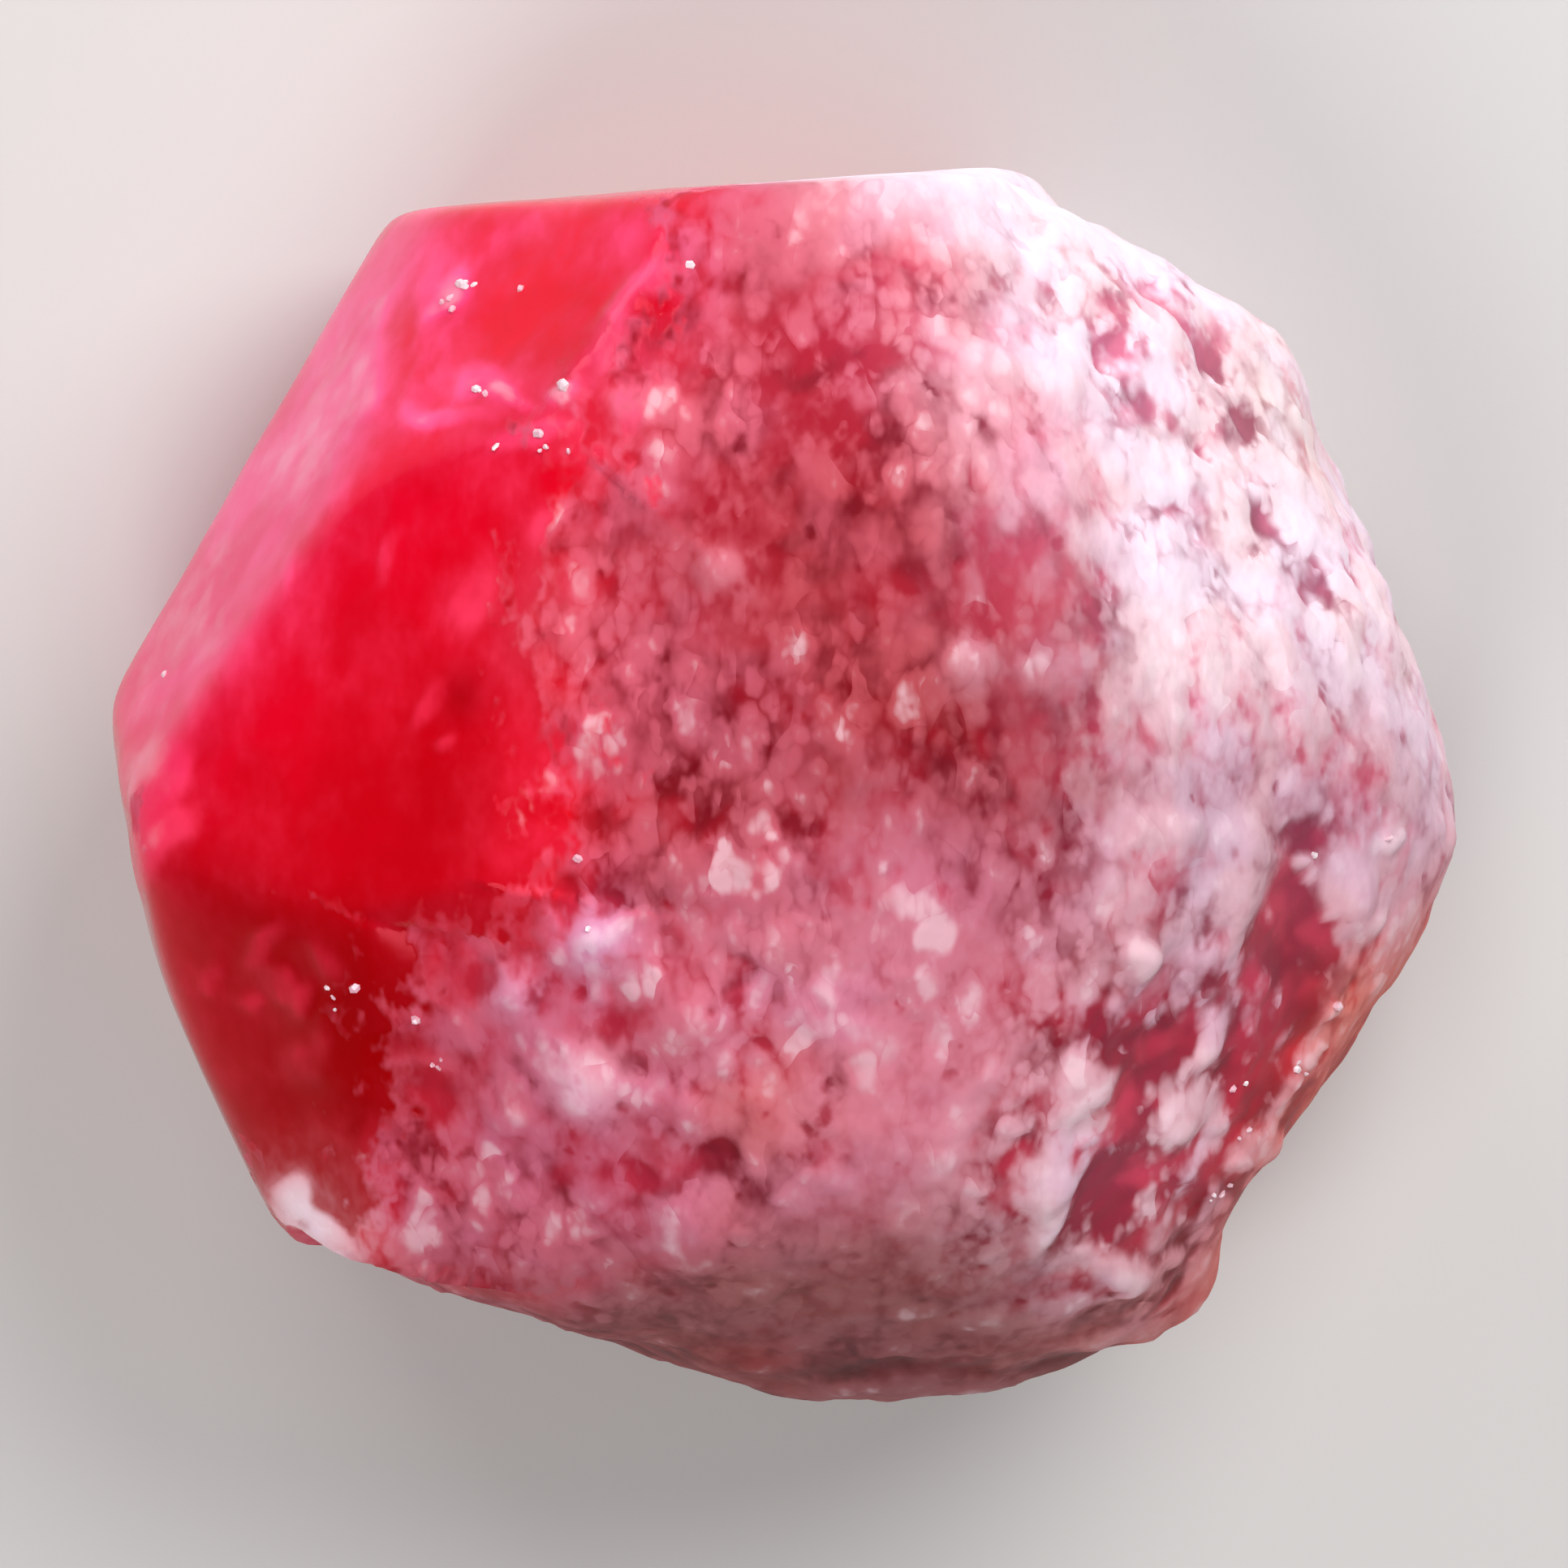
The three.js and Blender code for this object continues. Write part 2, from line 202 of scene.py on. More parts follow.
# ---------------------------------------------------------------- frost and colour by place
# Frosted patches and bare windows on the upper side: place in plan, length, width, the way that
# the length points, and how much frost is added or missing.
PATCHES = [
    # grains and windows of the dome
    (-1.8, 4.68, 0.32, 0.28, 0, 0.9),
    (1.48, 4.58, 0.5, 0.2, 100, 0.9),
    (-1.45, 3.75, 0.45, 0.22, 80, 0.7),
    (0.36, 3.7, 0.45, 0.2, 100, 0.9),
    (-0.77, 2.65, 0.26, 0.26, 0, 1.1),
    (-2.84, 3.08, 0.3, 0.25, 0, 0.8),
    (2.2, 1.53, 0.38, 0.24, 35, 0.9),
    (1.4, 1.93, 0.45, 0.28, 60, 0.6),
    (0.81, 0.34, 0.3, 0.2, 90, 0.45),
    (-1.54, 5.69, 0.22, 0.16, 30, -0.9),
    (0.4, 4.33, 0.8, 0.3, 20, -0.3),
    (-2.68, 3.7, 0.3, 0.22, 0, -0.7),
    (-2.07, 2.59, 0.3, 0.2, 60, -0.6),
    (1.45, 2.44, 0.3, 0.22, 0, -0.7),
    (2.6, 2.63, 0.7, 0.5, 80, -0.7),
    (2.3, 0.73, 0.8, 0.35, 10, -0.5),
    (-0.4, 1.2, 0.5, 0.3, 60, -0.5),
    (-2.8, -0.22, 0.3, 0.2, 0, -0.6),
    (-1.5, 0.1, 0.7, 0.22, 30, -1.0),
    (-0.9, -0.42, 0.4, 0.25, 0, -0.7),
    (-2.6, -1.22, 0.25, 0.2, 0, -0.8),
    (0.6, 5.3, 1.4, 0.7, 0, -0.6),
    (-1.2, 1.0, 1.2, 0.7, 20, 0.3),
    # lumps below the dome
    (-2.95, -3.05, 0.5, 0.2, 95, 1.2),
    (-2.2, -2.6, 0.36, 0.2, 80, 1.2),
    (-3.9, -2.9, 0.3, 0.18, 20, 0.9),
    (-1.6, -2.2, 0.34, 0.2, 100, 0.9),
    (-3.6, -4.6, 0.4, 0.22, 80, 0.7),
    (-2.2, -4.9, 0.3, 0.24, 0, 0.7),
    (-4.3, -5.0, 0.4, 0.25, 60, 0.8),
    (-2.33, -1.85, 0.45, 0.28, 25, 1.2),
    (-1.95, -1.55, 0.4, 0.12, 30, 0.9),
    (-1.15, -1.02, 0.3, 0.3, 0, 0.8),
    (-0.25, -1.07, 0.35, 0.28, 90, 0.7),
    (-0.05, -1.87, 0.4, 0.3, 60, 0.8),
    (-3.25, -2.5, 0.42, 0.25, 20, 0.9),
    (-2.6, -2.87, 0.45, 0.25, 80, 0.7),
    (-1.2, -2.9, 0.45, 0.38, 0, 0.9),
    (-2.37, -3.5, 0.5, 0.42, 100, 1.3),
    (-1.72, -3.67, 0.24, 0.22, 0, 1.0),
    (-1.13, -3.83, 0.3, 0.16, 90, 0.9),
    (-3.28, -4.0, 0.28, 0.14, 35, 1.0),
    (-1.15, -5.35, 0.5, 0.38, 100, 0.9),
    (-4.9, -4.4, 0.65, 0.25, 95, 0.5),
    (-4.6, -5.5, 0.6, 0.4, 0, 0.5),
    (-2.8, -5.5, 0.5, 0.35, 90, 0.4),
    (-3.2, -1.95, 0.2, 0.16, 0, -0.9),
    (-3.6, -2.3, 0.25, 0.2, 0, -0.9),
    (-2.85, -2.55, 0.3, 0.16, 60, -0.9),
    (-2.1, -2.75, 0.3, 0.2, 0, -0.9),
    (-4.3, -3.75, 0.45, 0.28, -30, -0.9),
    (-4.7, -3.15, 0.5, 0.16, 0, -0.8),
    (-0.85, -4.45, 0.35, 0.22, 0, -1.3),
    (-1.9, -4.6, 1.2, 0.5, 10, -0.4),
    (-1.6, -2.6, 1.4, 1.0, 0, -0.3),
    # pale shoulder in front
    (1.6, -1.6, 0.8, 1.2, 0, 0.5),
    (2.3, -0.95, 0.35, 0.16, 90, -0.8),
    (3.55, -0.4, 0.2, 0.15, 0, -0.8),
    (1.2, -3.6, 1.4, 0.8, 30, 0.3),
    (2.0, -4.6, 0.5, 0.3, 60, 0.4),
    # chalk of the upper right
    (3.3, 6.9, 1.2, 0.5, -30, 0.6),
    (2.92, 6.75, 0.28, 0.2, 60, -1.0),
    (3.15, 5.98, 0.35, 0.18, 60, -0.7),
    (4.0, 5.85, 0.45, 0.3, 60, -0.7),
    (3.93, 5.22, 0.65, 0.15, -55, -1.3),
    (3.55, 5.25, 0.35, 0.25, 45, 0.8),
    (3.25, 4.73, 0.28, 0.25, 0, 1.0),
    (4.45, 5.9, 0.4, 0.07, -60, -1.4),
    (4.72, 5.58, 0.25, 0.07, -40, -1.4),
    (5.28, 5.25, 0.42, 0.2, -70, -1.2),
    (5.7, 4.5, 0.35, 0.17, -60, -1.2),
    (5.3, 4.18, 0.28, 0.2, 0, -1.2),
    (5.95, 3.3, 0.5, 0.18, -50, -1.1),
    (6.42, 2.5, 0.55, 0.18, -48, -1.1),
    (6.75, 2.63, 0.4, 0.1, -45, -0.9),
    (4.2, 4.55, 0.35, 0.28, 0, -0.9),
    (4.95, 3.2, 0.4, 0.28, -50, -0.9),
    (4.4, 3.3, 0.25, 0.2, 0, -0.7),
    (5.75, 2.85, 0.15, 0.15, 0, -1.0),
    (5.1, 2.35, 0.3, 0.2, 0, -0.6),
    (5.55, 2.15, 0.3, 0.16, 0, -0.6),
    (6.3, 4.4, 0.6, 0.5, 0, -0.4),
    # grey nodules of the right
    (5.4, -0.65, 0.35, 0.3, 0, 1.0),
    (4.6, -0.5, 0.4, 0.3, 0, 0.8),
    (5.3, -1.3, 0.4, 0.32, 0, 1.0),
    (5.05, -2.2, 0.35, 0.28, 60, 0.9),
    (4.24, -1.97, 0.24, 0.24, 0, 2.6),
    (4.0, -2.9, 0.5, 0.35, 0, -0.8),
    (6.1, -1.75, 0.9, 0.45, 65, -2.2),
    (4.7, -2.9, 1.0, 0.25, 55, -1.3),
    (5.8, -3.1, 0.9, 0.4, 60, -1.2),
    (6.3, -0.55, 0.4, 0.2, 20, -1.0),
    (6.75, -1.2, 0.45, 0.28, 80, 1.8),
    (7.05, -1.7, 0.3, 0.2, 20, 1.5),
    (7.55, -2.0, 0.6, 0.2, 65, 1.0),
    (7.36, -0.6, 0.14, 0.14, 0, 1.3),
    (6.36, -0.85, 0.12, 0.12, 0, 1.2),
    (6.72, -2.65, 0.12, 0.12, 0, 1.2),
    # streaks of the lower right
    (4.1, -4.5, 1.9, 1.1, 70, -0.4),
    (3.6, -3.5, 0.45, 0.3, 60, 1.5),
    (3.25, -4.15, 0.45, 0.16, 60, 1.4),
    (3.1, -4.95, 0.75, 0.2, 80, 2.2),
    (4.79, -3.98, 0.42, 0.28, 25, 1.6),
    (5.04, -3.05, 0.45, 0.14, 60, 1.4),
    (5.55, -3.22, 0.34, 0.12, 85, 1.4),
    (6.3, -3.35, 0.16, 0.14, 0, 1.5),
    (6.5, -3.15, 0.12, 0.1, 0, 1.3),
    (6.1, -3.6, 0.12, 0.1, 0, 1.2),
    (5.8, -4.4, 0.3, 0.24, 30, 1.7),
    (5.5, -4.57, 0.14, 0.12, 0, 1.7),
    (5.25, -4.1, 0.14, 0.12, 0, 1.1),
    (4.83, -4.57, 0.24, 0.14, 40, 1.2),
    (5.2, -4.95, 0.18, 0.12, 60, 1.1),
    (4.53, -5.33, 0.22, 0.16, 30, 1.4),
    (5.12, -5.41, 0.26, 0.14, 60, 1.2),
    (4.03, -5.78, 0.5, 0.28, -30, 2.2),
    (4.75, -5.75, 0.26, 0.12, 10, 1.2),
    (5.4, -5.8, 0.4, 0.14, 20, 0.8),
    (3.86, -4.74, 0.42, 0.38, 0, -1.5),
    (4.87, -4.99, 0.2, 0.16, 0, -1.1),
    (4.28, -3.0, 0.4, 0.25, 0, -1.1),
    (4.35, -4.9, 0.2, 0.16, 0, -0.8),
    (5.35, -3.55, 0.5, 0.22, 60, -1.2),
    (6.2, -4.0, 0.4, 0.2, 60, -0.8),
    # pale spots of the front
    (1.41, -5.16, 0.3, 0.24, 0, 0.9),
    (0.57, -4.65, 0.26, 0.2, 0, 0.8),
    (1.83, -4.48, 0.3, 0.24, 20, 0.9),
    (2.17, -3.81, 0.75, 0.22, 60, 0.8),
    (0.82, -2.97, 0.4, 0.25, 0, 0.7),
    (1.41, -2.37, 0.4, 0.3, 0, 0.6),
    (0.0, -5.5, 0.5, 0.3, 20, 0.7),
    (-0.36, -4.8, 0.3, 0.25, 0, -0.8),
    (2.7, -4.3, 0.6, 0.14, 65, -0.8),
    # streaks along the rim
    (4.4, -6.55, 1.1, 0.16, 16, 1.3),
    (1.6, -7.33, 1.5, 0.12, 0, 1.2),
    (2.9, -6.3, 0.9, 0.14, 12, 0.9),
    (1.6, -7.0, 0.9, 0.12, 4, -1.0),
    (3.6, -6.9, 0.9, 0.12, 14, -0.9),
    # soft tones
    (1.0, 7.0, 2.6, 0.5, 0, 1.2),
    (-0.6, 6.3, 0.9, 0.6, 20, 0.5),
    (3.4, 2.6, 1.4, 0.7, 100, -0.4),
    # frost on the clear faces
    (-4.75, 2.8, 0.35, 0.12, 80, 0.9),
    (-3.8, 2.3, 0.5, 0.3, 70, 0.8),
    (-4.4, 0.95, 0.35, 0.15, 60, 0.8),
    (-4.1, 0.5, 0.2, 0.12, 40, 0.8),
    (-4.1, 6.0, 0.6, 0.45, 30, 0.8),
    (-3.95, 6.05, 0.26, 0.2, 70, 1.7),
    (-4.15, 5.85, 0.3, 0.1, 40, 1.2),
    (-3.7, 4.85, 0.32, 0.24, 20, 1.3),
    (-3.35, 4.65, 0.3, 0.1, -20, 1.2),
    (-2.75, 4.75, 0.22, 0.14, 30, 1.8),
    (-3.2, 4.2, 0.5, 0.14, 15, 1.0),
    (-4.2, 4.5, 0.5, 0.12, -10, 1.0),
    (-4.75, 5.3, 0.9, 0.2, 80, -1.0),
    (-5.35, 4.95, 0.9, 0.55, 62, 1.1),
    (-6.0, 3.9, 0.6, 0.5, 60, 1.1),
    (-6.7, 2.9, 0.5, 0.45, 60, 0.5),
    (-7.2, 1.95, 0.6, 0.5, 60, 1.2),
    (-7.9, 0.9, 0.5, 0.5, 60, 1.0),
    (-4.2, 4.8, 0.8, 0.45, 10, 0.8),
    (-3.4, 4.6, 0.7, 0.45, 30, 0.6),
    (-5.0, 5.85, 0.3, 0.1, 75, 0.9),
    (-2.2, 6.4, 0.9, 0.5, 40, 0.45),
    (-1.75, 5.75, 0.8, 0.3, 62, 0.9),
    (-6.05, 2.75, 0.3, 0.14, 80, 0.7),
    (-7.7, 0.1, 0.5, 0.4, 60, 1.6),
    (-7.5, -0.5, 0.3, 0.2, 20, 1.4),
    (-7.9, -0.9, 0.5, 0.25, 75, 1.4),
    (-6.3, -1.95, 0.3, 0.16, 45, 1.0),
    (-6.1, -2.4, 0.3, 0.16, -50, 1.1),
    (-5.85, -2.6, 0.25, 0.14, 60, 1.1),
    (-5.5, -2.2, 0.35, 0.2, -60, 0.9),
    (-7.0, -2.3, 0.25, 0.14, 60, 0.8),
    (-6.45, -2.55, 0.2, 0.12, 0, 0.8),
    (-7.2, -4.3, 0.3, 0.15, 80, 0.5),
    (-5.97, -5.0, 0.36, 0.22, 70, 2.6),
    (-5.5, -5.45, 0.55, 0.14, -45, 2.2),
    (-5.75, -3.2, 0.5, 0.2, 60, 0.8),
]
PATCH_HEIGHT = 0.05  # how far a full patch stands out of the crust
CLEAR_PATCH_HEIGHT = 0.015  # the same on the clear faces
SOFT_PATCH = 0.42  # patches wider than this fade gently, and the others have a clear edge
PATCH_WANDER = [(0.9, 0.12), (0.35, 0.06)]  # how their outlines wander: wavelength, reach
PATCH_SEEDS = (83, 89)
PATCH_SPECKLE = [(0.34, 0.4, 97)]
PATCH_FADE = (-1, 0)  # they end between these heights

# Tints: place in plan, radius, strength, colour of the bare beryl and of its frost.
TINTS = [
    # The next two darken the rim: partly its grey-brown crust, partly painted shade.
    (1.4, -7.0, 1.7, 0.8, srgb(88, 32, 34), srgb(138, 80, 84)),
    (-0.4, -7.2, 0.7, 0.7, srgb(92, 14, 14), srgb(140, 44, 42)),
    (4.2, -6.8, 1.2, 0.8, srgb(132, 62, 64), srgb(210, 142, 144)),
    (-1.9, 1.6, 1.1, 0.6, srgb(140, 26, 46), srgb(200, 96, 120)),
    # The next two deepen the red of the lower left clear faces: painted shade.
    (-4.0, -0.3, 1.6, 0.8, srgb(205, 0, 14), srgb(235, 45, 70)),
    (-7.2, -2.2, 1.6, 0.5, srgb(205, 0, 14), srgb(235, 45, 70)),
    # Warm orange at the right edge: partly the crust's tone, partly a painted glow.
    (7.1, -2.9, 1.0, 0.7, srgb(196, 58, 48), srgb(236, 126, 104)),
    (6.3, -4.3, 1.0, 0.6, srgb(190, 56, 50), srgb(230, 124, 108)),
    (6.5, 4.7, 0.9, 0.6, srgb(200, 140, 130), srgb(245, 225, 212)),
    (-0.2, -3.9, 0.9, 0.5, srgb(150, 30, 25), srgb(205, 105, 92)),
    (-2.3, -1.85, 0.5, 0.9, srgb(160, 60, 90), srgb(218, 168, 202)),
    (-1.4, 4.9, 1.3, 0.6, srgb(150, 28, 46), srgb(222, 104, 124)),
    (5.2, -0.9, 0.9, 0.7, srgb(150, 60, 82), srgb(202, 168, 182)),
    (-2.6, 2.0, 0.9, 0.5, srgb(160, 24, 40), srgb(222, 98, 116)),
    (1.6, -1.6, 1.2, 0.6, srgb(170, 56, 80), srgb(204, 124, 148)),
    (0.7, 2.9, 1.9, 0.7, srgb(120, 10, 18), srgb(172, 66, 72)),
    (-5.8, -5.2, 0.75, 1.0, srgb(195, 4, 16), srgb(252, 222, 234)),
    (3.2, 2.4, 1.15, 0.85, srgb(142, 40, 58), srgb(176, 88, 106)),
    (1.8, 6.3, 1.1, 0.75, srgb(160, 36, 60), srgb(216, 96, 120)),
    (2.9, 4.2, 1.15, 0.65, srgb(164, 46, 70), srgb(218, 116, 142)),
    (-0.75, 2.63, 0.3, 0.7, srgb(190, 90, 110), srgb(240, 160, 180)),
    (-3.3, -2.45, 0.4, 0.7, srgb(176, 76, 102), srgb(228, 156, 184)),
    (-2.35, -3.55, 0.45, 0.7, srgb(186, 96, 116), srgb(240, 184, 204)),
    (2.3, 1.45, 0.35, 0.6, srgb(176, 86, 106), srgb(224, 164, 182)),
    (1.0, 7.3, 1.2, 0.12, srgb(220, 90, 110), srgb(255, 208, 218)),
    (4.1, -4.4, 1.7, 0.85, srgb(184, 68, 92), srgb(236, 206, 218)),
    (5.9, -2.0, 1.1, 0.6, srgb(172, 62, 80), srgb(222, 178, 190)),
    (-3.9, 1.1, 0.35, 0.8, srgb(180, 0, 10), srgb(220, 20, 45)),
]

# Where the crust's colour has grown over the clear faces, or draws back from them: place, width,
# how far its border moves.
OVERGROWN = [
    (1.5, 7.4, 2, 2.6, 5.0),
    (-3.6, -6.9, -3, 1.5, 2.0),
    (-7.9, -0.3, 2.9, 0.9, 1.3),
    (-1.9, 5.5, 5.2, 1.0, -1.4),
    (-0.9, -1.7, 6.8, 0.7, 0.9),
    (-4.3, -5.5, 3.6, 0.7, 0.9),
]
SIDE_RAGGED = [(2.4, 1.3, 7)]  # how its border wanders down the sides
SIDE_FADE = (2, -1)  # this starts between these heights
THIN_CRUST = (-1.6, 0.2)  # the crust thins towards its border
THIN_SHOWS = 0.35  # how much of the beryl's colour shows there

# Frost that comes with the shape, and in clouds. The shape's frost is thicker on rises and thinner
# in hollows, so hollows show darker: partly the crust lying thinner there, partly painted shade.
LUMP_FROST_AND_SHADE = 2
GRAIN_FROST_AND_SHADE = 4
FROST_CLOUD = (2.2, 2, 211)
CLEAR_CLOUDY = 1.6  # how many times as much the cloud counts on the clear faces
BORDER_FROST = 0.3  # on the clear faces, next to the crust
BORDER_FROST_FADE = (1.6, 0.2)
MORE_GRAIN = 1.4  # how much grainier the crust is under the cloud
MORE_GRAIN_FADE = (-0.15, 0.1)

# Drifts of colour over the surface: a cloud, the part of it that shows, and the factors on the
# colour at its two ends.
Drift = collections.namedtuple("Drift", "cloud shown dark light")
CLEAR_DEPTHS = Drift((1.3, 3, 251), (-0.2, 0.15), (0.88, 0.5, 0.62), (1, 1, 1))
CRUST_WINDOWS = Drift((0.8, 3, 231), (-0.15, 0.15), (0.8, 0.8, 0.8), (1.5, 1.4, 1.4))
CRUST_HUES = Drift((0.9, 2, 241), (-0.15, 0.15), (1, 0.95, 0.94), (1, 1.02, 1.08))

# ---------------------------------------------------------------- grain finer than the solid's
GRAIN = [(0.42, 0.05, 41), (0.22, 0.025, 53), (0.13, 0.014, 67)]  # on the crust
RIPPLE = [(1.3, 0.012, 71), (0.5, 0.004, 73)]  # on the clear faces

# Granules and holes of the crust: spacing, chance, width, height, frost, seed. The holes lose frost
# and show darker, partly painted shade in them.
GRANULES = [
    (0.85, 0.5, 0.22, 0.045, 0.8, 101),
    (0.42, 0.4, 0.1, 0.018, 0.9, 107),
    (0.9, 0.4, 0.2, -0.04, -0.9, 131),
    (0.4, 0.35, 0.09, -0.015, -0.9, 137),
]
GRANULE_STRETCH = (1, 0.75, 1)  # their scale along each axis: drawn out along Y
GRANULE_WANDER = [(0.45, 0.12), (0.22, 0.06)]  # how their outlines wander: wavelength, reach
GRANULE_SEEDS = (91, 92, 93)
GRANULE_JITTER = 0.45  # how far one is from the middle of its cell, in cells
GRANULE_VARIETY = 0.4  # how much wider or narrower than the usual one it may be
GRANULE_RIM = (1.2, 0.5)  # it rises between these, in widths from its middle
OCTAVE_FADE = 0.6  # the strength of each finer octave of a cloud next to the one before
# A turned lattice, so that no cloud lines up with the axes.
LATTICE = np.linalg.qr(np.random.default_rng(3).normal(size=(3, 3)))[0]

# Tiny crystals on the surface: place in plan and half width, and fields of clusters of them:
# middle, spread, clusters and crystals in each.
# They are nearly white, so that they also stand in for glints: partly painted highlight.
SPARKLES = [
    (-3.95, 6.12, 0.07),
    (-3.22, 6.05, 0.04),
    (-3.7, 4.83, 0.05),
    (-2.68, 4.81, 0.06),
    (-2.97, 4.24, 0.05),
    (-3.47, 4.12, 0.04),
    (-1.15, 6.33, 0.05),
    (-7.6, 1.43, 0.05),
    (-5.19, -2.44, 0.055),
    (-4.45, -2.81, 0.045),
    (-2.46, -0.87, 0.05),
    (-2.35, -1.67, 0.04),
    (6.4, -0.8, 0.06),
    (7.36, -0.6, 0.05),
    (6.72, -2.65, 0.05),
]
GRAIN_FIELDS = [
    (5.6, -4.4, 0.6, 4, 2),
    (6.3, -3.35, 0.1, 1, 3),
    (-4.9, -2.6, 0.5, 2, 3),
    (-4.0, 6.0, 0.12, 2, 3),
    (-3.7, 4.8, 0.15, 1, 3),
    (-2.9, 4.6, 0.3, 1, 3),
]
GRAIN_SIZES = (0.02, 0.045)  # half widths in the fields
CLUSTER = 0.07  # the spread of a cluster
GRAIN_PRISM = 0.7  # half the length of a crystal's sides, in half widths
GRAIN_TIP = 1.3  # from its middle to its tips
GRAIN_STRETCH = (0.6, 1.5)  # the least and most that it is stretched along an axis
GRAIN_SEED = 7

# ---------------------------------------------------------------- the mesh
FREQUENCY = 99  # facets along an icosahedron's edge
LEAN_UP = 0.45  # how strongly they are gathered towards the top
FACET_ANGLE = 1.144 / FREQUENCY  # radians between neighbouring vertices, before that
SNAP = 0.4  # vertices this close to an edge, in facets, move onto it
HIGHEST = 12.0  # no point of the surface is higher over the heart
HEIGHT_ERROR = 0.001  # how closely a height is found
NEAR_ZERO = 1e-30  # stands in for 0 under a fraction

# ---------------------------------------------------------------- material
TALL = (1, 0.66, 0.6)  # the scale of its noise along each axis: drawn out along Y and Z
NOISES = {  # wavelength, octaves, their roughness, distortion
    "tiny": (0.15, 1.0, 0.5, 0.0),
    "fine": (0.32, 2.0, 0.6, 0.0),
    "mottled": (0.7, 3.0, 0.6, 0.3),
}
EDGE_WANDER = {"mottled": 3.6, "fine": 2.0, "tiny": 1.0}  # of the crust's border, by noise
EDGE_FADE = (-0.35, 0.45)  # from crust to clear face across it
BIG_GRANULES = (0.42, 0.4)  # width, how far their outlines wander
SMALL_GRANULES = (0.2, 0.24)
SMALL_SHARE = 0.5  # the frost of a small granule next to a big one's
GRANULE_MEAN = 0.3  # taken off, so that granules add no frost on the whole
GRANULE_DOME = (0.2, 0.75)  # where a granule falls off, in widths from its middle
HOLE_FROST = -0.6
HOLE_EDGE = (0.28, 0.58)  # holes are where the tiny noise is low
HOLE_PATCHES = (0.36, 0.5)  # and the mottled noise is too
CHALK = srgb(255, 236, 244)
THICK_FROST = (0.8, 2.4)  # frost turns chalky here

# How frost covers a surface: what each noise adds to it, from none to full cover, how far it
# turns chalky where it is thick, how pale that is, the cover at which it is as rough and dense as
# it gets, and the roughness and transmission with no frost and at that cover.
Finish = collections.namedtuple("Finish", "speckle cover thickest pale full rough through")
GLASS = Finish(
    speckle={"fine": 1.0, "mottled": 1.6}, cover=(-1.3, 1.1), thickest=0.5, pale=0.45,
    full=1.0, rough=(0.13, 0.25), through=(0.25, 0.05),
)
CRUST = Finish(
    speckle={"fine": 1.6, "mottled": 1.8}, cover=(-1.2, 0.9), thickest=0.85, pale=0.4,
    full=0.6, rough=(0.5, 0.7), through=(0.1, 0.0),
)

BUMP_STRENGTH = 0.5
BUMP_HEIGHT = 0.05  # of the fine and tiny noise
CLEAR_BUMP = 0.05  # a clear face's share of the bump
BERYL_IOR = 1.575
SPECULAR_LEVEL = 0.15
SPECULAR_TINT = (1.0, 0.2, 0.28)
BERYL_RED = (0.99, 0.05, 0.12)  # what is left of light that passes through
BERYL_DENSITY = 2000.0
# Nearly white, partly painted glints on the tiny crystals.
GRAIN_AND_GLINT_TONES = (srgb(250, 190, 208), srgb(255, 240, 246))  # of the tiny crystals
GRAIN_TONE_NOISE = (0.5, 1.0, 0.5, 0.0)
GRAIN_TONE_FADE = (0.35, 0.65)
GRAIN_ROUGH = (0.1, 0.2)
GRAIN_THROUGH = 0.2

# ---------------------------------------------------------------- stage
FLOOR_REACH = 1.0  # metres from the middle to each side
FLOOR_GAP = 0.02  # between the floor and the base
FLOOR_COLOUR = (0.6, 0.59, 0.58)
FLOOR_ROUGH = 0.9
LIGHTS = [  # name, place from the middle of the base, width, watts
    ("key", (55, 60, 95), 90, 0.125),
    ("back_left", (-48, 102, 42), 70, 0.075),
    ("front_fill", (-35, -65, 100), 70, 0.08),
]
WORLD_STRENGTH = 0.16
SENSOR_WIDTH = 36
LENS = 400
FRAME_SHARE = 1.17  # the picture's width, in widths of the crystal
NEAREST_SEEN = 0.01  # metres from the camera


# ---------------------------------------------------------------- faces
def outward(azimuth, tilt):
    """The unit vector that points towards an azimuth, tilted from straight up."""
    turn, lean = math.radians(azimuth), math.radians(tilt)
    level = math.sin(lean)
    return np.array((level * math.cos(turn), level * math.sin(turn), math.cos(lean)))


def all_faces():
    """Every face's plane, as its normal over its distance from the heart, and its look."""
    planes, looks = [], []
    for azimuth, spread, above, below, look in SIDES:
        for tilt in (above, below):
            planes.append(outward(azimuth, tilt) / (spread * math.sin(math.radians(tilt))))
            looks.append(look)
    for azimuth, tilt, rise, look in CAPS:
        planes.append(outward(azimuth, tilt) / (rise * math.cos(math.radians(tilt))))
        looks.append(look)
    return np.array(planes), looks


PLANES, FACE_LOOKS = all_faces()
IS_CLEAR = np.array([look in CLEAR_LOOKS for look in FACE_LOOKS])


def shares(points):
    """How far out each point is towards each face: 1 on the face's plane."""
    return points @ PLANES.T


def gauge(points, power):
    """The same for the whole solid, with its edges rounded by a power mean."""
    return (np.maximum(shares(points), 0) ** power).sum(axis=1) ** (1 / power)


def smoothstep(value, low, high):
    """0 up to low and 1 from high on, or the other way round where high is the lower one."""
    t = np.clip((value - low) / (high - low), 0, 1)
    return t * t * (3 - 2 * t)


def clear_side(points):
    """Distance from the border between clear faces and crust, positive on the clear side."""
    share = shares(points)
    clear = np.argmax(np.where(IS_CLEAR, share, -np.inf), axis=1)
    crust = np.argmax(np.where(IS_CLEAR, -np.inf, share), axis=1)
    edge = PLANES[clear] - PLANES[crust]
    return (edge * points).sum(axis=1) / np.linalg.norm(edge, axis=1)


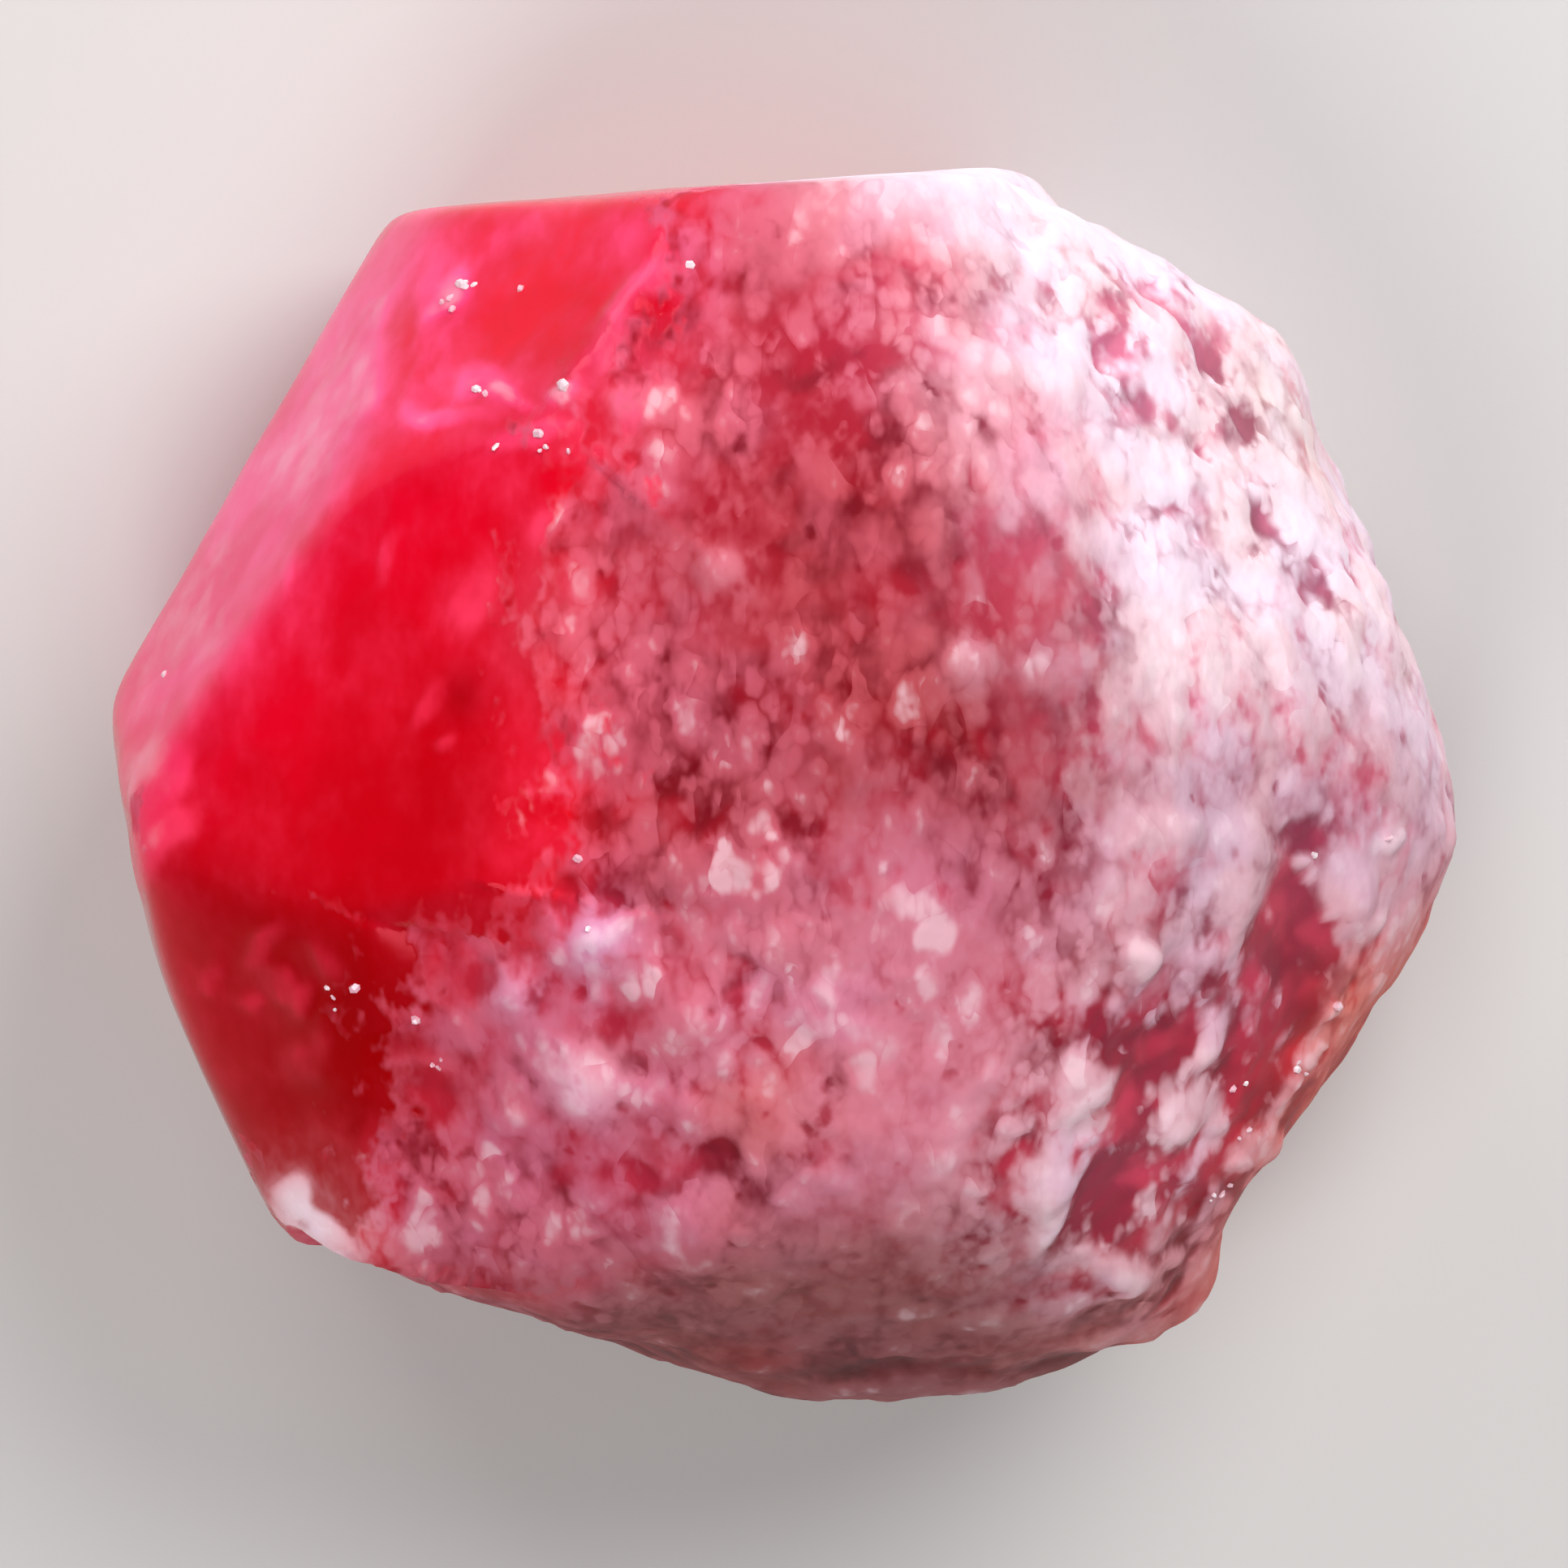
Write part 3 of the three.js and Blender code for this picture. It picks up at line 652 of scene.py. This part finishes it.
def bare_radius(directions):
    """The smooth solid's radius from the heart, crisp on the clear side and worn on the crust."""
    worn = 1 / gauge(directions, WORN)
    crispness = smoothstep(clear_side(directions * worn[:, None]), *CLEAR_FADE)
    return worn * (1 - crispness) + crispness / gauge(directions, CRISP)


def surface_above(x, y, power):
    """The point of the smooth upper surface above a place in plan."""
    low, high = 0.0, HIGHEST
    while high - low > HEIGHT_ERROR:
        middle = (low + high) / 2
        if gauge(np.array([[x, y, middle]]), power)[0] < 1:
            low = middle
        else:
            high = middle
    return np.array((x, y, low))


# ---------------------------------------------------------------- noise
def scrambled(i, j, k, seed):
    """A repeatable number from -1 to 1 for each corner of a lattice."""
    value = i * 374761393 + j * 668265263 + k * 1442695041 + seed * 1013904223
    value &= 0xFFFFFFFF
    value = ((value ^ (value >> 13)) * 1274126177) & 0xFFFFFFFF
    return (value ^ (value >> 16)) / 2**31 - 1


def noise(points, wavelength, seed):
    """Smooth noise from -1 to 1."""
    scaled = points / wavelength
    corner = np.floor(scaled).astype(np.int64)
    inside = scaled - corner
    weights = inside * inside * (3 - 2 * inside)
    value = np.zeros(len(points))
    for step in range(8):
        on = np.array((step & 1, (step >> 1) & 1, step >> 2))
        weight = np.where(on, weights, 1 - weights).prod(axis=1)
        value += weight * scrambled(*(corner + on).T, seed)
    return value


def layered(points, layers):
    """Layers of noise on each other."""
    return sum(height * noise(points, wavelength, seed) for wavelength, height, seed in layers)


def cloud(points, wavelength, octaves, seed):
    """Noise with finer noise on it, from -0.5 to 0.5."""
    strengths = [OCTAVE_FADE**i for i in range(octaves)]
    parts = [s * noise(points, wavelength / 2**i, seed + i) for i, s in enumerate(strengths)]
    return sum(parts) / (2 * sum(strengths))


def wandering(points, layers, seeds):
    """The points, pushed about by noise along one axis for each seed."""
    moved = points.copy()
    for wavelength, reach in layers:
        for axis, seed in enumerate(seeds):
            moved[:, axis] += reach * noise(points, wavelength, seed)
    return moved


def granules(points, spacing, chance, width, seed):
    """Round flat-topped bumps, from 0 to 1, by chance in the cells of a lattice."""
    scaled = points / spacing
    corner = np.floor(scaled).astype(np.int64)
    tallest = np.zeros(len(points))
    for step in itertools.product((-1, 0, 1), repeat=3):
        cell = (corner + step).T
        jitter = np.array([scrambled(*cell, seed + axis) for axis in (1, 2, 3)]).T
        centre = cell.T + 0.5 + GRANULE_JITTER * jitter
        size = width * (1 + GRANULE_VARIETY * scrambled(*cell, seed + 4)) / spacing
        away = np.linalg.norm(scaled - centre, axis=1) / size
        here = (scrambled(*cell, seed) + 1) / 2 < chance
        tallest = np.maximum(tallest, here * smoothstep(away, *GRANULE_RIM))
    return tallest


def nearness(points, place, width):
    """1 at a place, falling to 0 around it."""
    away = np.linalg.norm(points - place, axis=1) / width
    return np.exp(-away * away)


# ---------------------------------------------------------------- the mesh's directions
def icosahedron():
    """The corners of an icosahedron, and its faces, turned outwards."""
    golden = (1 + 5**0.5) / 2
    corners = [(-1, golden, 0), (1, golden, 0), (-1, -golden, 0), (1, -golden, 0)]
    corners += [(z, x, y) for x, y, z in corners[:4]] + [(y, z, x) for x, y, z in corners[:4]]
    corners = np.array(corners) / math.hypot(1, golden)
    a_hair_over_an_edge = 1.01 * np.linalg.norm(corners[0] - corners[1])
    near = np.linalg.norm(corners[:, None] - corners[None], axis=2) < a_hair_over_an_edge
    faces = []
    for a, b, c in itertools.combinations(range(12), 3):
        if near[a, b] and near[b, c] and near[a, c]:
            inward = np.linalg.det(corners[[a, b, c]]) < 0
            faces.append((a, c, b) if inward else (a, b, c))
    return corners, faces


def geodesic(frequency):
    """Unit directions and triangles of an icosahedron whose edges are cut into equal lengths."""
    steps = [(i, j) for i in range(frequency + 1) for j in range(frequency + 1 - i)]
    number = {step: n for n, step in enumerate(steps)}
    cells = []
    for i, j in steps:
        if i + j < frequency:
            cells.append((number[i, j], number[i + 1, j], number[i, j + 1]))
        if i + j < frequency - 1:
            cells.append((number[i + 1, j], number[i + 1, j + 1], number[i, j + 1]))
    cells = np.array(cells)
    share_b, share_c = np.array(steps).T[:, :, None] / frequency
    corners, faces = icosahedron()
    points, triangles = [], []
    for a, b, c in faces:
        triangles.append(cells + len(points) * len(steps))
        grid = corners[a] * (1 - share_b - share_c) + corners[b] * share_b + corners[c] * share_c
        points.append(grid)
    points = np.concatenate(points)
    rounded = np.round(points, 7)
    _, first, merged = np.unique(rounded, axis=0, return_index=True, return_inverse=True)
    directions = points[first] / np.linalg.norm(points[first], axis=1, keepdims=True)
    return directions, merged.ravel()[np.concatenate(triangles)]


def snapped(directions, reach):
    """Moves directions onto the edge between their two nearest faces where it is close."""
    order = np.argsort(-shares(directions), axis=1)
    edge = PLANES[order[:, 0]] - PLANES[order[:, 1]]
    edge /= np.linalg.norm(edge, axis=1, keepdims=True)
    angle = (edge * directions).sum(axis=1)
    moved = directions - np.where(np.abs(angle) < reach, angle, 0)[:, None] * edge
    return moved / np.linalg.norm(moved, axis=1, keepdims=True)


def gathered(directions):
    """Leans directions towards the top and moves them onto edges that are close."""
    leaned = directions + (0, 0, LEAN_UP)
    length = np.linalg.norm(leaned, axis=1)
    spacing = FACET_ANGLE * np.sqrt((1 + LEAN_UP * directions[:, 2]) / length**3)
    return snapped(leaned / length[:, None], SNAP * spacing)


# ---------------------------------------------------------------- the crystal's surface
def crust_cover(points):
    """Where the crust lies, from 0 to 1, and the distance from the border of its colour."""
    border = clear_side(points) + layered(points, SKIN_RAGGED)
    skin = 1 - smoothstep(border, *SKIN_EDGE)
    border = border + layered(points, SIDE_RAGGED) * smoothstep(points[:, 2], *SIDE_FADE)
    for x, y, z, width, shift in OVERGROWN:
        border -= shift * nearness(points, (x, y, z), width)
    return skin, border


def spots(points, places):
    """Round bumps: each place is x, y, width, height."""
    total = np.zeros(len(points))
    for x, y, width, height in places:
        total += height * nearness(points, surface_above(x, y, WORN), width)
    return total


def patchwork(points):
    """Frost added or missing in the listed patches."""
    x, y, _ = wandering(points, PATCH_WANDER, PATCH_SEEDS).T
    total = np.zeros(len(points))
    for place_x, place_y, length, width, turn, frost in PATCHES:
        angle = math.radians(turn)
        along = (x - place_x) * math.cos(angle) + (y - place_y) * math.sin(angle)
        across = (y - place_y) * math.cos(angle) - (x - place_x) * math.sin(angle)
        away = (along / length) ** 2 + (across / width) ** 2
        total += frost * np.exp(-(away if width > SOFT_PATCH else away**2))
    total *= 1 + layered(points, PATCH_SPECKLE)
    return total * smoothstep(points[:, 2], *PATCH_FADE)


def scattered_granules(wandered):
    """The height and the frost of the granules and holes."""
    height, frost = np.zeros(len(wandered)), np.zeros(len(wandered))
    for spacing, chance, width, tall, frosty, seed in GRANULES:
        scattered = granules(wandered * GRANULE_STRETCH, spacing, chance, width, seed)
        height += tall * scattered
        frost += frosty * scattered
    return height, frost


def look_fields(points):
    """The colours, frost, grain and roughness of each point, from the faces it is nearest to."""
    share = np.maximum(shares(points), 0) ** FACE_BLEND
    looks = [LOOKS[look] for look in FACE_LOOKS]
    fields = {}
    for kind, chosen, entries in (
        ("glass_", IS_CLEAR, ("bare", "frosted", "frost")),
        ("crust_", ~IS_CLEAR, ("bare", "frosted", "frost")),
        ("", ~IS_CLEAR, ("grain", "rough")),
    ):
        weight = share * chosen
        weight /= np.maximum(weight.sum(axis=1, keepdims=True), NEAR_ZERO)
        for entry in entries:
            fields[kind + entry] = weight @ np.array([getattr(look, entry) for look in looks])
    return fields


def tint(points, fields):
    """Pulls the colours towards the tints of their places."""
    for x, y, radius, strength, bare, frosted in TINTS:
        share = (strength * nearness(points, surface_above(x, y, CRISP), radius))[:, None]
        for name, colour in (("bare", bare), ("frosted", frosted)):
            for kind in ("glass_", "crust_"):
                fields[kind + name] = fields[kind + name] * (1 - share) + colour * share


def drift(points, fields, names, change):
    """Multiplies colours by a factor that drifts over the surface."""
    share = smoothstep(cloud(points, *change.cloud), *change.shown)[:, None]
    factor = np.array(change.dark) * (1 - share) + np.array(change.light) * share
    for name in names:
        fields[name] *= factor


def colour_fields(points, turned, looks, border, patches, speckle):
    """What the material reads at each point."""
    cloudy = cloud(turned, *FROST_CLOUD)
    by_crust = BORDER_FROST * smoothstep(border, *BORDER_FROST_FADE)
    grainier = 1 + MORE_GRAIN * smoothstep(cloudy, *MORE_GRAIN_FADE)
    fields = {"border": border, "patchy_grain": looks["grain"] * grainier, **looks}
    fields["crust_frost"] += patches + speckle + cloudy
    fields["glass_frost"] += patches + CLEAR_CLOUDY * cloudy + by_crust
    drift(turned, fields, ("glass_bare", "glass_frosted"), CLEAR_DEPTHS)
    tint(points, fields)
    thin = THIN_SHOWS * smoothstep(border, *THIN_CRUST)[:, None]
    for name in ("bare", "frosted"):
        fields["crust_" + name] += thin * (fields["glass_" + name] - fields["crust_" + name])
    drift(turned, fields, ("crust_bare",), CRUST_WINDOWS)
    drift(turned, fields, ("crust_bare", "crust_frosted"), CRUST_HUES)
    return fields


def cut_by_base(aims, radius):
    """The points at these radii, flat where the base cuts the crystal off."""
    to_base = np.where(aims[:, 2] < 0, HEART_HEIGHT / np.maximum(-aims[:, 2], NEAR_ZERO), np.inf)
    points = aims * np.minimum(radius, to_base)[:, None]
    points[radius > to_base, 2] = -HEART_HEIGHT
    return points


def crystal_surface():
    """The crystal's points from its heart, its triangles, and what its material reads there."""
    directions, triangles = geodesic(FREQUENCY)
    aims = gathered(directions)
    radius = bare_radius(aims)
    points = aims * radius[:, None]
    skin, border = crust_cover(points)
    looks = look_fields(points)
    rough = CLEAR_ROUGH + (looks["rough"] - CLEAR_ROUGH) * skin
    lumps = spots(points, LUMPS) - spots(points, PITS)
    grain = rough * layered(points, GRAIN)
    wandered = wandering(points, GRANULE_WANDER, GRANULE_SEEDS)
    granule_height, granule_frost = scattered_granules(wandered)
    patches = patchwork(points)
    on_crust = SKIN_THICKNESS + granule_height + lumps + grain + PATCH_HEIGHT * patches
    on_clear = CLEAR_PATCH_HEIGHT * patches + layered(points, RIPPLE)
    radius += rough * layered(points, RELIEF) + skin * on_crust + (1 - skin) * on_clear
    # Frost follows the height, paler on rises and darker in hollows: partly painted shade.
    speckle = LUMP_FROST_AND_SHADE * lumps + GRAIN_FROST_AND_SHADE * grain + granule_frost
    fields = colour_fields(points, wandered @ LATTICE, looks, border, patches, speckle)
    return cut_by_base(aims, radius), triangles, fields


# ---------------------------------------------------------------- pieces
def add_object(name, data):
    """Puts a mesh, light or camera into the scene."""
    thing = bpy.data.objects.new(name, data)
    bpy.context.collection.objects.link(thing)
    return thing


def add_mesh(name, points, faces, material):
    """Puts a mesh into the scene. Its points are in millimetres over the base."""
    mesh = bpy.data.meshes.new(name)
    mesh.from_pydata(np.array(points) * MM, [], faces)
    mesh.materials.append(material)
    return add_object(name, mesh)


def make_crystal(surface, triangles, fields):
    """The crystal, with the fields that its material reads."""
    points = surface + (0, 0, HEART_HEIGHT)
    piece = add_mesh("crystal_surface", points, triangles, beryl_material())
    for name, values in fields.items():
        if values.ndim == 1:
            layer = piece.data.attributes.new(name, "FLOAT", "POINT")
            layer.data.foreach_set("value", values.astype(np.float32))
        else:
            layer = piece.data.attributes.new(name, "FLOAT_COLOR", "POINT")
            colour = np.ones((len(values), 4), np.float32)
            colour[:, :3] = values
            layer.data.foreach_set("color", colour.ravel())
    piece.data.shade_smooth()
    return piece


def grain_places(rng):
    """Where the tiny crystals stand in plan, and their half widths."""
    places = list(SPARKLES)
    for x, y, spread, clusters, count in GRAIN_FIELDS:
        for middle in (x, y) + spread * rng.normal(size=(clusters, 2)):
            for place in middle + CLUSTER * rng.normal(size=(count, 2)):
                places.append((*place, rng.uniform(*GRAIN_SIZES)))
    return places


def make_grains(surface):
    """Tiny six-sided crystals that stand on the surface and catch the light."""
    corners = [(math.cos(a), math.sin(a)) for a in np.arange(6) * math.pi / 3]
    shape = [(x, y, z) for z in (-GRAIN_PRISM, GRAIN_PRISM) for x, y in corners]
    shape = np.array(shape + [(0, 0, -GRAIN_TIP), (0, 0, GRAIN_TIP)])
    sides = []
    for i in range(6):
        j = (i + 1) % 6
        sides += [(i, j, 6 + j, 6 + i), (j, i, 12), (6 + i, 6 + j, 13)]
    rng = np.random.default_rng(GRAIN_SEED)
    top = surface[surface[:, 2] > 0]
    points, faces = [], []
    for x, y, size in grain_places(rng):
        foot = top[np.argmin(np.hypot(top[:, 0] - x, top[:, 1] - y))]
        turn = np.linalg.qr(rng.normal(size=(3, 3)))[0]
        turn[:, 0] *= np.linalg.det(turn)
        stretched = shape * size * rng.uniform(*GRAIN_STRETCH, (1, 3))
        faces += [[len(points) + corner for corner in side] for side in sides]
        points.extend(stretched @ turn.T + foot + (0, 0, HEART_HEIGHT))
    return add_mesh("grains", points, faces, grain_material())


# ---------------------------------------------------------------- materials
class Nodes:
    """A new material, with short calls for building its node tree."""

    def __init__(self, name):
        self.material = bpy.data.materials.new(name)
        self.material.use_nodes = True
        self.tree = self.material.node_tree
        self.tree.nodes.clear()

    def add(self, kind, inputs=(), **settings):
        """A node of this kind, with these settings and what goes into its inputs by name."""
        node = self.tree.nodes.new("ShaderNode" + kind)
        for name, value in settings.items():
            setattr(node, name, value)
        for name, value in dict(inputs).items():
            self.put(node.inputs[name], value)
        return node

    def put(self, socket, value):
        """Links another node's output to an input, or sets the input's value."""
        if isinstance(value, bpy.types.NodeSocket):
            self.tree.links.new(value, socket)
        elif socket.type == "RGBA":
            socket.default_value = (*value, 1)
        else:
            socket.default_value = value

    def attribute(self, name, output="Fac"):
        return self.add("Attribute", attribute_name=name).outputs[output]

    def math(self, operation, *values):
        node = self.add("Math", operation=operation)
        for socket, value in zip(node.inputs, values):
            self.put(socket, value)
        return node.outputs[0]

    def weighted(self, start, fields, weights):
        """start plus each named field times its weight."""
        for name, weight in weights.items():
            start = self.math("MULTIPLY_ADD", fields[name], weight, start)
        return start

    def ramp(self, value, low, high, start=0.0, end=1.0):
        """start where value is under low, end where it is over high, smooth between."""
        node = self.add("MapRange", interpolation_type="SMOOTHSTEP")
        for socket, entry in zip(node.inputs, (value, low, high, start, end)):
            self.put(socket, entry)
        return node.outputs[0]

    def mix(self, factor, a, b):
        """A colour between two colours."""
        node = self.add("Mix", {"Factor": factor}, data_type="RGBA")
        colours = [socket for socket in node.inputs if socket.type == "RGBA"]
        for socket, colour in zip(colours, (a, b)):
            self.put(socket, colour)
        return [socket for socket in node.outputs if socket.type == "RGBA"][0]

    def blend(self, factor, a, b):
        """A number between two numbers."""
        node = self.add("Mix", data_type="FLOAT")
        for socket, entry in zip(node.inputs[:1] + node.inputs[2:4], (factor, a, b)):
            self.put(socket, entry)
        return node.outputs[0]

    def position(self, squeeze=(1, 1, 1)):
        """Places on the object, squeezed along its axes."""
        place = self.add("TexCoord").outputs["Object"]
        return self.add("Mapping", {"Vector": place, "Scale": squeeze}).outputs["Vector"]

    def noise(self, place, wavelength, detail, roughness, distortion):
        inputs = {"Vector": place, "Scale": 1 / (wavelength * MM), "Detail": detail}
        inputs.update({"Roughness": roughness, "Distortion": distortion})
        return self.add("TexNoise", inputs).outputs["Fac"]

    def granules(self, place, wavelength, wander):
        """Round granules of random height, from 0 in the gaps between them up to 1."""
        scale = 1 / (wavelength * MM)
        shift = self.add("TexNoise", {"Vector": place, "Scale": scale, "Detail": 1.0})
        moved = self.add("VectorMath", operation="MULTIPLY_ADD")
        for socket, value in zip(moved.inputs, (shift.outputs["Color"], (wander * MM,) * 3, place)):
            self.put(socket, value)
        cells = self.add("TexVoronoi", {"Vector": moved.outputs["Vector"], "Scale": scale})
        height = self.add("SeparateColor", {"Color": cells.outputs["Color"]}).outputs["Red"]
        dome = self.ramp(cells.outputs["Distance"], *GRANULE_DOME, 1.0, 0.0)
        return self.math("MULTIPLY", dome, height)

    def finish(self, shader, volume=None):
        """The material, with its shaders put in place."""
        output = self.add("OutputMaterial", {"Surface": shader.outputs["BSDF"]})
        if volume:
            self.put(output.inputs["Volume"], volume.outputs["Volume"])
        return self.material


def granular_frost(n, place):
    """Frost that the granules add, or miss in the gaps between them."""
    big, small = n.granules(place, *BIG_GRANULES), n.granules(place, *SMALL_GRANULES)
    both = n.math("MULTIPLY_ADD", small, SMALL_SHARE, big)
    return n.math("SUBTRACT", both, GRANULE_MEAN)


def hollows(n, noises):
    """Little holes in the frost, in patches."""
    holes = n.ramp(noises["tiny"], *HOLE_EDGE, 1.0, 0.0)
    patches = n.ramp(noises["mottled"], *HOLE_PATCHES, 1.0, 0.0)
    return n.math("MULTIPLY", n.math("MULTIPLY", holes, patches), n.attribute("grain"))


def frosted_surface(n, kind, frost, finish):
    """The colour, roughness and transmission of beryl under this much frost."""
    bare, frosted = n.attribute(kind + "_bare", "Color"), n.attribute(kind + "_frosted", "Color")
    cover = n.ramp(frost, *finish.cover)
    chalky = n.ramp(frost, *THICK_FROST, 0.0, finish.thickest)
    colour = n.mix(chalky, n.mix(cover, bare, frosted), n.mix(finish.pale, frosted, CHALK))
    rough = n.ramp(cover, 0.0, finish.full, *finish.rough)
    through = n.ramp(cover, 0.0, finish.full, *finish.through)
    return colour, rough, through


def beryl_material():
    """Clear red faces with veils of frost, and the crust over the rest with its ragged border."""
    n = Nodes("beryl")
    place = n.position(TALL)
    noises = {name: n.noise(place, *settings) for name, settings in NOISES.items()}
    changes = {name: n.math("SUBTRACT", field, 0.5) for name, field in noises.items()}
    edge = n.weighted(n.attribute("border"), changes, EDGE_WANDER)
    skin = n.ramp(edge, *EDGE_FADE, 1.0, 0.0)
    glass_frost = n.weighted(n.attribute("glass_frost"), changes, GLASS.speckle)
    frost = n.weighted(n.attribute("crust_frost"), changes, CRUST.speckle)
    granular = granular_frost(n, place)
    frost = n.math("MULTIPLY_ADD", granular, n.attribute("patchy_grain"), frost)
    crust_frost = n.math("MULTIPLY_ADD", hollows(n, noises), HOLE_FROST, frost)
    glass = frosted_surface(n, "glass", glass_frost, GLASS)
    crust = frosted_surface(n, "crust", crust_frost, CRUST)
    height = n.math("ADD", noises["fine"], noises["tiny"])
    bumpy = n.blend(skin, CLEAR_BUMP, n.attribute("rough"))
    bump = n.add("Bump", {"Strength": BUMP_STRENGTH, "Distance": BUMP_HEIGHT * MM})
    n.put(bump.inputs["Height"], n.math("MULTIPLY", height, bumpy))
    shader = n.add("BsdfPrincipled", {
        "Base Color": n.mix(skin, glass[0], crust[0]),
        "Roughness": n.blend(skin, glass[1], crust[1]),
        "Transmission Weight": n.blend(skin, glass[2], crust[2]),
        "IOR": BERYL_IOR,
        "Specular IOR Level": SPECULAR_LEVEL,
        "Specular Tint": SPECULAR_TINT,
        "Normal": bump.outputs["Normal"],
    })
    volume = n.add("VolumeAbsorption", {"Color": BERYL_RED, "Density": BERYL_DENSITY})
    return n.finish(shader, volume)


def grain_material():
    """Colourless to pale pink little crystals, pale enough to stand in for glints as well: partly
    painted highlight.
    """
    n = Nodes("grain")
    tone = n.ramp(n.noise(n.position(), *GRAIN_TONE_NOISE), *GRAIN_TONE_FADE)
    shader = n.add("BsdfPrincipled", {
        "Base Color": n.mix(tone, *GRAIN_AND_GLINT_TONES),
        "Roughness": n.blend(tone, *GRAIN_ROUGH),
        "Transmission Weight": GRAIN_THROUGH,
        "IOR": BERYL_IOR,
    })
    return n.finish(shader)


def floor_material():
    """Plain and pale."""
    n = Nodes("floor")
    return n.finish(n.add("BsdfPrincipled", {"Base Color": FLOOR_COLOUR, "Roughness": FLOOR_ROUGH}))


# ---------------------------------------------------------------- stage
def make_floor():
    reach = FLOOR_REACH / MM
    corners = [(x * reach, y * reach, -FLOOR_GAP) for x, y in ((-1, -1), (1, -1), (1, 1), (-1, 1))]
    floor = add_mesh("floor", corners, [(0, 1, 2, 3)], floor_material())


def add_light(name, place, width, power):
    """A round lamp that faces the crystal's heart."""
    light = bpy.data.lights.new(name, "AREA")
    light.shape = "DISK"
    light.size = width * MM
    light.energy = power
    lamp = add_object(name, light)
    lamp.location = np.array(place) * MM
    toward = mathutils.Vector((0, 0, HEART_HEIGHT * MM)) - lamp.location
    lamp.rotation_euler = toward.to_track_quat("-Z", "Y").to_euler()


def add_world():
    world = bpy.data.worlds.new("studio")
    world.use_nodes = True
    background = world.node_tree.nodes["Background"]
    background.inputs["Color"].default_value = (1, 1, 1, 1)
    background.inputs["Strength"].default_value = WORLD_STRENGTH
    bpy.context.scene.world = world


def add_camera():
    """Looks straight down at the crystal with a long lens, which keeps its outline true."""
    low, high = (np.array(corner) for corner in cad_box)
    centre = (low + high) / 2
    camera = bpy.data.cameras.new("camera")
    camera.sensor_width = SENSOR_WIDTH
    camera.lens = LENS
    camera.clip_start = NEAREST_SEEN
    eye = add_object("camera", camera)
    distance = FRAME_SHARE * (high - low)[0] * LENS / SENSOR_WIDTH
    eye.location = (centre[0], centre[1], HEART_HEIGHT * MM + distance)
    bpy.context.scene.camera = eye


surface, triangles, fields = crystal_surface()
crystal = make_crystal(surface, triangles, fields)
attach(crystal, "root")
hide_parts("crystal")

grains = make_grains(surface)
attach(grains, "root")

make_floor()
for name, place, width, power in LIGHTS:
    add_light(name, place, width, power)
add_world()
add_camera()
bpy.context.scene.view_settings.view_transform = "Standard"
